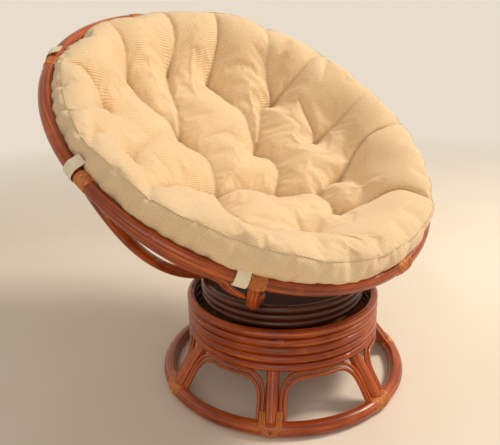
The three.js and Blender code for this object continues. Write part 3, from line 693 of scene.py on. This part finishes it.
# Folds between tufts, deep at both ends
FOLDS = (
    ((388, 184), (348, 187), (256, 193), (190, 207)), ((396, 209), (312, 210), (246, 205), (190, 207)),
    ((350, 163), (281, 148), (255, 139), (184, 122), (157, 115)),
    ((351, 125), (312, 130), (266, 127), (203, 121), (157, 115)),
    ((329, 60), (303, 59), (264, 48), (219, 46), (142, 41)), ((319, 30), (290, 37), (264, 48)),
    ((190, 207), (98, 208), (65, 271), (105, 297)), ((157, 115), (167, 97), (157, 77), (142, 41)),
    ((105, 297), (51, 354), (142, 41)), ((378, 282), (240, 275), (105, 297)),
    ((332, 322), (220, 318), (105, 297)),
)
# Loose folds that run out: deep only where they start
LOOSE_FOLDS = (
    ((331, 91), (348, 105), (381, 117)), ((142, 41), (166, 9)), ((400, 236), (411, 242), (472, 257)),
    ((350, 262), (300, 250), (250, 236)), ((326, 354), (250, 0)), ((331, 91), (250, 88)),
)
TUFTS = sorted({places[0] for places in CHANNELS} | {places[-1] for places in FOLDS})


def spot(radius, degrees):
    """A place in the bowl's plane, as x and y."""
    return polar(radius, math.radians(degrees), 0)[:2]


def creases():
    """Sewn channels and folds, in short pieces: (start, end, depth at start, depth at end, width)."""
    made = []
    for lines, (start, end, slack, width) in (
        (CHANNELS, CHANNEL_SEWING),
        (FOLDS, FOLD_SEWING),
        (LOOSE_FOLDS, LOOSE_FOLD_SEWING),
    ):
        for places in lines:
            line = curve_through([(*spot(*p), 0) for p in places], CREASE_STEP)[:, :2]
            share = lengths(line) / lengths(line)[-1]
            depth = (start + (end - start) * share**0.6) * (1 - (1 - slack) * np.sin(np.pi * share))
            for k in range(len(line) - 1):
                made.append((line[k], line[k + 1], depth[k], depth[k + 1], width))
    return made


def crest(angle):
    """How high the bowl's edge stands, by the angle from the front."""
    height = CUSHION_CREST + CUSHION_FRONT_RISE * np.cos(angle)
    for rise, where, width in SWELLS:
        off = np.degrees(angle) - where
        off = (off + 180) % 360 - 180
        height = height + rise * np.exp(-((off / width) ** 2))
    return height


def crease_depth(flat):
    """How far the sewing pulls the top down at each place, in mm, and how near a fold's bottom it is, for
    the painted shade there.
    """
    deepest, bottom = np.zeros(len(flat)), np.zeros(len(flat))
    for a, b, from_depth, to_depth, width in creases():
        along = b - a
        share = np.clip((flat - a) @ along / (along @ along), 0, 1)
        away = np.linalg.norm(flat - a - share[:, None] * along, axis=1)
        depth = from_depth + (to_depth - from_depth) * share
        deepest = np.maximum(deepest, depth * np.exp(-away / width))
        # Painted shade: a point near the bottom of a deep fold is coloured darker
        bottom = np.maximum(bottom, depth / SHADE_DEPTH * np.exp(-away / SHADE_WIDTH))
    for tuft in TUFTS:
        away = np.linalg.norm(flat - spot(*tuft), axis=1)
        deepest += TUFT_PIT * np.exp(-away / TUFT_WIDTH)
    return deepest, bottom


def top_height(flat):
    """The stuffed top before it is sewn: a bowl with a roll round its edge, a little uneven."""
    radius, angle = np.hypot(flat[:, 0], flat[:, 1]), np.arctan2(flat[:, 0], -flat[:, 1])
    share = np.minimum(radius / CUSHION_RADIUS, 1)
    bowl = -CUSHION_HOLLOW + (crest(angle) + CUSHION_HOLLOW) * share**2
    roll = ROLL_RISE * np.exp(-(((radius - ROLL_RADIUS) / ROLL_WIDTH) ** 2))
    brow = BROW_DROP * np.clip((radius - BROW_RADIUS) / BROW_WIDTH, 0, 1) ** 2
    drift = [noise.noise(Vector((x / DRIFT_WIDTH, y / DRIFT_WIDTH, 0.3))) for x, y in flat]
    return bowl + roll - brow + DRIFT * np.array(drift) - TOP_DROP


def flat_net(ring, guides, spacing):
    """Triangles inside a ring of points, even but for the guide points; the ring comes first."""
    size = np.linalg.norm(ring[0])
    kept = []
    for g in guides:
        if np.linalg.norm(g) < size - spacing * 0.7:
            if all(np.linalg.norm(g - k) > spacing * 0.5 for k in kept):
                kept.append(g)
    flat, taken = list(ring), np.array(kept or [(9 * size, 0)])
    for r, y in enumerate(np.arange(-size, size, spacing * 0.866)):
        for x in np.arange(-size + (r % 2) * spacing / 2, size, spacing):
            if math.hypot(x, y) < size - spacing * 0.7:
                if np.min(np.abs(taken - (x, y)).max(axis=1)) > spacing * 0.6:
                    flat.append(np.array((x, y)))
    edges = [(k, (k + 1) % len(ring)) for k in range(len(ring))]
    points = [Vector(p) for p in flat + kept]
    verts, _, faces, _, _, _ = geometry.delaunay_2d_cdt(points, edges, [], 1, 1e-4)
    return np.array([tuple(v) for v in verts]), [list(f) for f in faces]


def add_side(points, faces, uvs, held, ring, height, spacing):
    """Hangs the side from the seam, whose places in the bowl's plane are ring; returns its lowest row."""
    count = len(ring)
    angle = np.arctan2(ring[:, 0], -ring[:, 1])
    rows, down = [list(range(count))], [0.0]
    steps = round(SIDE_LENGTH / spacing)
    pucker = []
    for at in ring:
        fine, broad = Vector((*(at / 26), 3)), Vector((*(at / 60), 7))
        pucker.append(noise.noise(fine) + noise.noise(broad))
    for step in range(1, steps + 1):
        level = step / steps
        bulge = CUSHION_WALL_BULGE * math.sin(math.pi * level)
        out = CUSHION_RADIUS + bulge - CUSHION_FOOT_INSET * level**2
        row = []
        for i in range(count):
            h = height[i] * (1 - level) - CUSHION_FOOT * level
            x, y, _ = polar(out + PUCKER * pucker[i] * (1 - level), angle[i], h)
            row.append(len(points))
            points.append((x + CUSHION_SHIFT * (1 - level), y, h))
            held.append(1.0 if step >= steps - 1 else 0.0)
        rows.append(row)
        down.append(level * SIDE_MAP_LENGTH)
    reach = CUSHION_RADIUS * TURN / count * MM
    for r in range(len(rows) - 1):
        for k in range(count):
            after = (k + 1) % count
            faces.append([rows[r][k], rows[r + 1][k], rows[r + 1][after], rows[r][after]])
            uvs += [(down[r + i] * MM + 2, (k + j) * reach) for i, j in ((0, 0), (1, 0), (1, 1), (0, 1))]
    return rows[-1]


def add_belly(points, faces, uvs, held, foot):
    """Closes the underside, with a shallow dimple under each tuft."""
    belly, below = flat_net(np.array([points[i][:2] for i in foot]), [], BELLY_SPACING)
    ties = np.array([spot(*t) for t in TUFTS])
    for x, y in belly[len(foot) :]:
        share = math.hypot(x, y) / CUSHION_RADIUS
        near = np.linalg.norm(ties * DIMPLE_REACH - (x, y), axis=1).min()
        dimple = DIMPLE * math.exp(-((near / DIMPLE_WIDTH) ** 2))
        dimple += 1.5 * noise.noise(Vector((x / 60, y / 60, 9)))
        points.append((x, y, -CUSHION_BELLY * (1 - share**2) + dimple))
        held.append(1.0)
    for face in below:
        faces.append([foot[0] + i for i in reversed(face)])
        uvs += [(belly[i][0] * MM, belly[i][1] * MM) for i in reversed(face)]


def cushion_shape(spacing):
    """The sewn cover before it is stuffed.

    Points in mm, faces, map values, how firmly each point is held, which points the seam follows,
    and how near a fold's bottom each point is, for the painted shade there."""
    count = round(TURN * CUSHION_RADIUS / spacing)
    ring = [spot(CUSHION_RADIUS, 360 * k / count) for k in range(count)]
    guides = []
    for a, b, *_ in creases():
        pieces = max(2, round(np.linalg.norm(b - a) / spacing))
        guides += [a + (b - a) * k / pieces for k in range(pieces + 1)]
    top, faces = flat_net(ring, guides, spacing)
    pulled, bottom = crease_depth(top)
    height = top_height(top) - pulled
    points = [(x + CUSHION_SHIFT, y, z) for (x, y), z in zip(top, height)]
    held = list(np.clip((pulled - HOLD_FROM) / HOLD_OVER, 0, 1) * (np.hypot(*top.T) < HOLD_WITHIN))
    uvs = [(top[i][0] * MM, top[i][1] * MM) for face in faces for i in face]
    foot = add_side(points, faces, uvs, held, top[:count], height, spacing)
    add_belly(points, faces, uvs, held, foot)
    # fold holds the painted shade near the bottoms of the folds, and none off the top
    fold = np.concatenate([bottom, np.zeros(len(points) - len(bottom))])
    return np.array(points), faces, uvs, np.array(held), range(count), fold


def positions(mesh):
    flat = np.empty(len(mesh.vertices) * 3, np.float32)
    mesh.vertices.foreach_get("co", flat)
    return flat.reshape(-1, 3)


def inflate(thing, held, pressure=4.5, growth=0.035, frames=16, most=24):
    """Lets the cover swell like cloth between the places that hold it, by no more than most mm."""
    group = thing.vertex_groups.new(name="held")
    firmness = np.round(held, 1)
    for level in np.unique(firmness):
        if level > 0:
            group.add([int(i) for i in np.nonzero(firmness == level)[0]], float(level), "REPLACE")
    swell = thing.modifiers.new("swell", "CLOTH")
    settings = swell.settings
    settings.quality = 5
    settings.mass = 0.15
    settings.tension_stiffness = settings.compression_stiffness = 12
    settings.shear_stiffness = 4
    settings.bending_stiffness = 0.3
    settings.use_pressure = True
    settings.uniform_pressure_force = pressure
    settings.shrink_min = -growth
    settings.vertex_group_mass = group.name
    settings.effector_weights.gravity = 0
    swell.point_cache.frame_start, swell.point_cache.frame_end = 1, frames
    scene = bpy.context.scene
    for number in range(1, frames + 1):
        scene.frame_set(number)
    before = positions(thing.data)
    after = positions(thing.evaluated_get(bpy.context.evaluated_depsgraph_get()).data)
    move = after - before
    size = np.linalg.norm(move, axis=1)
    limit = most * MM
    move *= (limit * np.tanh(size / limit) / np.maximum(size, 1e-9))[:, None]
    thing.modifiers.remove(swell)
    thing.vertex_groups.remove(group)
    scene.frame_set(1)
    thing.data.vertices.foreach_set("co", (before + move).astype(np.float32).ravel())
    thing.data.update()


def build_cushion():
    points, faces, uvs, held, rim, fold = cushion_shape(TOP_SPACING)
    thing = mesh_object("cushion_pad", place(BOWL, points), faces, uvs, material=CLOTH)
    # The value fold carries the painted shade at the bottoms of the folds
    thing.data.attributes.new("fold", "FLOAT", "POINT").data.foreach_set("value", fold.astype(np.float32))
    inflate(thing, held)
    seam = np.array([thing.data.vertices[i].co for i in rim])
    outward = seam - np.array(BOWL.translation)
    seam = seam - SEAM_INSET * MM * outward / np.linalg.norm(outward, axis=1)[:, None]
    for i, point in zip(rim, seam):
        thing.data.vertices[i].co = point
    thread = Pole("cushion_seam")
    thread.add((seam + 0.0006 * outward) / MM, SEAM_THREAD, 6, closed=True, matrix=Matrix.Identity(4))
    thread.finish("cushion_cloth", "seat", THREAD)
    smooth = thing.modifiers.new("smooth", "SUBSURF")
    smooth.levels = smooth.render_levels = 1
    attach(thing, "seat")
    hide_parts("cushion")


# ---------------------------------------------------------------- straps
# A strap's way round the rim, outside first: mm out from the rim's middle and up
STRAP_COURSE = ((-9, 33), (4, 25), (13, 19), (18.6, 9), (19.8, -3), (15, -13), (5, -19.6), (-7, -19),
                (-16, -12), (-19.4, -1), (-17.5, 10), (-16, 24))


def build_straps():
    course = curve_through([(r, h, 0) for r, h in STRAP_COURSE], 2.5)
    heading, along = headings(course), lengths(course)
    outward = np.stack([-heading[:, 1], heading[:, 0]], axis=1)
    half, thick = STRAP_WIDTH / 2, STRAP_HALF_THICKNESS
    section = [(w, thick) for w in np.linspace(-half + 1, half - 1, 12)] + [(half, 0)]
    section += [(w, -thick) for w in np.linspace(half - 1, -half + 1, 12)] + [(-half, 0)]
    wide = [w for w, _ in section] + [section[0][0]]
    faces, corners = wrap_grid(len(course), len(section), False)
    uvs = [(wide[c] * MM, along[r] * MM) for quad in corners for r, c in quad]
    for number, k in enumerate(STRAPPED_RIBS):
        side = 1 if rib_angle(k) > 0 else -1
        angle = rib_angle(k) + side * STRAP_OFFSET / RIM_RADIUS
        points = []
        for (r, h, _), (nr, nh) in zip(course, outward):
            for w, t in section:
                points.append(polar(RIM_RADIUS + r + nr * t, angle + w / RIM_RADIUS, h + nh * t))
        name = f"strap_{number + 1}"
        mesh_object(name, place(BOWL, points), faces, uvs, "seat", WEBBING)


# ---------------------------------------------------------------- boards, metal and springs
def dress_metal():
    looks = {
        "base_board": BOARD,
        "seat_board": STAINED_BOARD,
        "swivel_plate": STEEL,
        "turntable": STEEL,
        "rocker_saddle": STEEL,
        "rocker_pin": SPRING_STEEL,
    }
    for name, look in looks.items():
        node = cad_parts[name]
        node.data.materials.clear()
        node.data.materials.append(look)


def build_springs():
    """Round coil springs in the boxes of the part's springs, each from its foot on the turntable up to its
    top.
    """
    for end in ("front", "back"):
        low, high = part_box(f"spring_{end}")
        middle, lift = (low + high) / 2, SPRING_WIRE / 2 * MM
        coil = []
        for share in np.linspace(0, 1, SPRING_TURNS * SPRING_STEPS + 1):
            turn = TURN * SPRING_TURNS * share
            x, y = SPRING_RADIUS * MM * math.cos(turn), SPRING_RADIUS * MM * math.sin(turn)
            z = low.z + lift + (high.z - low.z - 2 * lift) * share
            coil.append((middle.x + x, middle.y + y, z))
        pole = Pole(f"coil_{end}")
        pole.add(np.array(coil) / MM, SPRING_WIRE / 2, 12, cap=1.0, matrix=Matrix.Identity(4))
        thing = mesh_object(
            pole.name, pole.points, pole.faces, pole.uvs, material=SPRING_STEEL
        )
        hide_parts(f"spring_{end}")
        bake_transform(thing)


# ---------------------------------------------------------------- stage, light and camera
# In metres. The floor fades out between two distances from the chair
FLOOR_HALF, FLOOR_FADE = 5, (1.6, 4.2)
BACKDROP, SKY, SKY_STRENGTH = linear(232, 221, 203), linear(238, 228, 214), 0.52
KEY_AT, KEY_SIZE, KEY_POWER, KEY_COLOR = (2.6, -1.6, 3.4), 1.2, 145, (1.0, 0.89, 0.75)
FILL_AT, FILL_SIZE, FILL_POWER, FILL_COLOR = (-3.2, -2.4, 2.4), 2.2, 26, (1.0, 0.98, 0.96)
# Fitted to the rim, the drums, the floor ring and the legs in the photo
CAMERA_AT, CAMERA_VIEW, CAMERA_ROLL = (-1.0084, -0.9862, 0.9035), (0.6364, 0.7039, -0.3155), -0.02156
SENSOR_WIDTH, FOCAL_LENGTH = 36, 38.88


def build_floor():
    """A pale floor that melts into the backdrop some way off."""
    look = Look("floor_paint", Roughness=0.75, Specular_IOR_Level=0.3)
    tone = look.noise(look.here(), 1.4, 3.0)
    look.to(Base_Color=look.ramp(tone, (0.3, linear(232, 222, 206)), (0.7, linear(240, 231, 217))))
    distance = look.node("VectorMath", out=1, settings={"operation": "LENGTH"}, i_0=look.here())
    clear = look.node("BsdfTransparent")
    fade = look.span(distance, *FLOOR_FADE)
    faded = look.node("MixShader", i_0=fade, i_1=look.shader.outputs[0], i_2=clear)
    look.tree.links.new(faded, look.tree.nodes["Material Output"].inputs[0])
    size = FLOOR_HALF
    corners = [(-size, -size, 0), (size, -size, 0), (size, size, 0), (-size, size, 0)]
    mesh_object("floor", corners, [[0, 1, 2, 3]], material=look.material)


def build_world():
    """A soft sky that lights the chair, and a backdrop for the camera and for what shines or is clear."""
    world = bpy.data.worlds.new("studio")
    world.use_nodes = True
    nodes, links = world.node_tree.nodes, world.node_tree.links
    sky, backdrop = nodes["Background"], nodes.new("ShaderNodeBackground")
    sky.inputs[0].default_value, sky.inputs[1].default_value = SKY, SKY_STRENGTH
    backdrop.inputs[0].default_value = BACKDROP
    ray, blend = nodes.new("ShaderNodeLightPath"), nodes.new("ShaderNodeMixShader")
    shown = ray.outputs["Is Camera Ray"]
    for kind in ("Is Glossy Ray", "Is Transmission Ray"):
        either = nodes.new("ShaderNodeMath")
        either.operation = "MAXIMUM"
        links.new(shown, either.inputs[0])
        links.new(ray.outputs[kind], either.inputs[1])
        shown = either.outputs[0]
    for k, output in enumerate((shown, sky.outputs[0], backdrop.outputs[0])):
        links.new(output, blend.inputs[k])
    links.new(blend.outputs[0], nodes["World Output"].inputs[0])
    bpy.context.scene.world = world


def area_light(name, at, size, power, color):
    """A square lamp that points at the middle of the chair."""
    data = bpy.data.lights.new(name, "AREA")
    data.size, data.energy, data.color = size, power, color
    lamp = bpy.data.objects.new(name, data)
    bpy.context.scene.collection.objects.link(lamp)
    lamp.location = at
    lamp.rotation_euler = (Vector((0, 0, 0.5)) - Vector(at)).to_track_quat("-Z", "Y").to_euler()


def build_camera():
    at, view = Vector(CAMERA_AT) + AXIS, Vector(CAMERA_VIEW).normalized()
    right = view.cross(Vector((0, 0, 1))).normalized()
    up = right.cross(view)
    level = math.cos(CAMERA_ROLL) * right + math.sin(CAMERA_ROLL) * up
    upward = -math.sin(CAMERA_ROLL) * right + math.cos(CAMERA_ROLL) * up
    data = bpy.data.cameras.new("camera")
    data.sensor_width, data.lens = SENSOR_WIDTH, FOCAL_LENGTH
    data.clip_start, data.clip_end = 0.05, 60
    camera = bpy.data.objects.new("camera", data)
    bpy.context.scene.collection.objects.link(camera)
    turned = Matrix((level, upward, -view)).transposed().to_4x4()
    camera.matrix_world = Matrix.Translation(at) @ turned
    bpy.context.scene.camera = camera


build_base()
build_legs()
build_bowl()
build_bindings()
build_cushion()
build_straps()
dress_metal()
build_springs()
build_floor()
build_world()
area_light("key", KEY_AT, KEY_SIZE, KEY_POWER, KEY_COLOR)
area_light("fill", FILL_AT, FILL_SIZE, FILL_POWER, FILL_COLOR)
build_camera()
bpy.context.scene.view_settings.view_transform = "Standard"

bpy.context.view_layer.update()
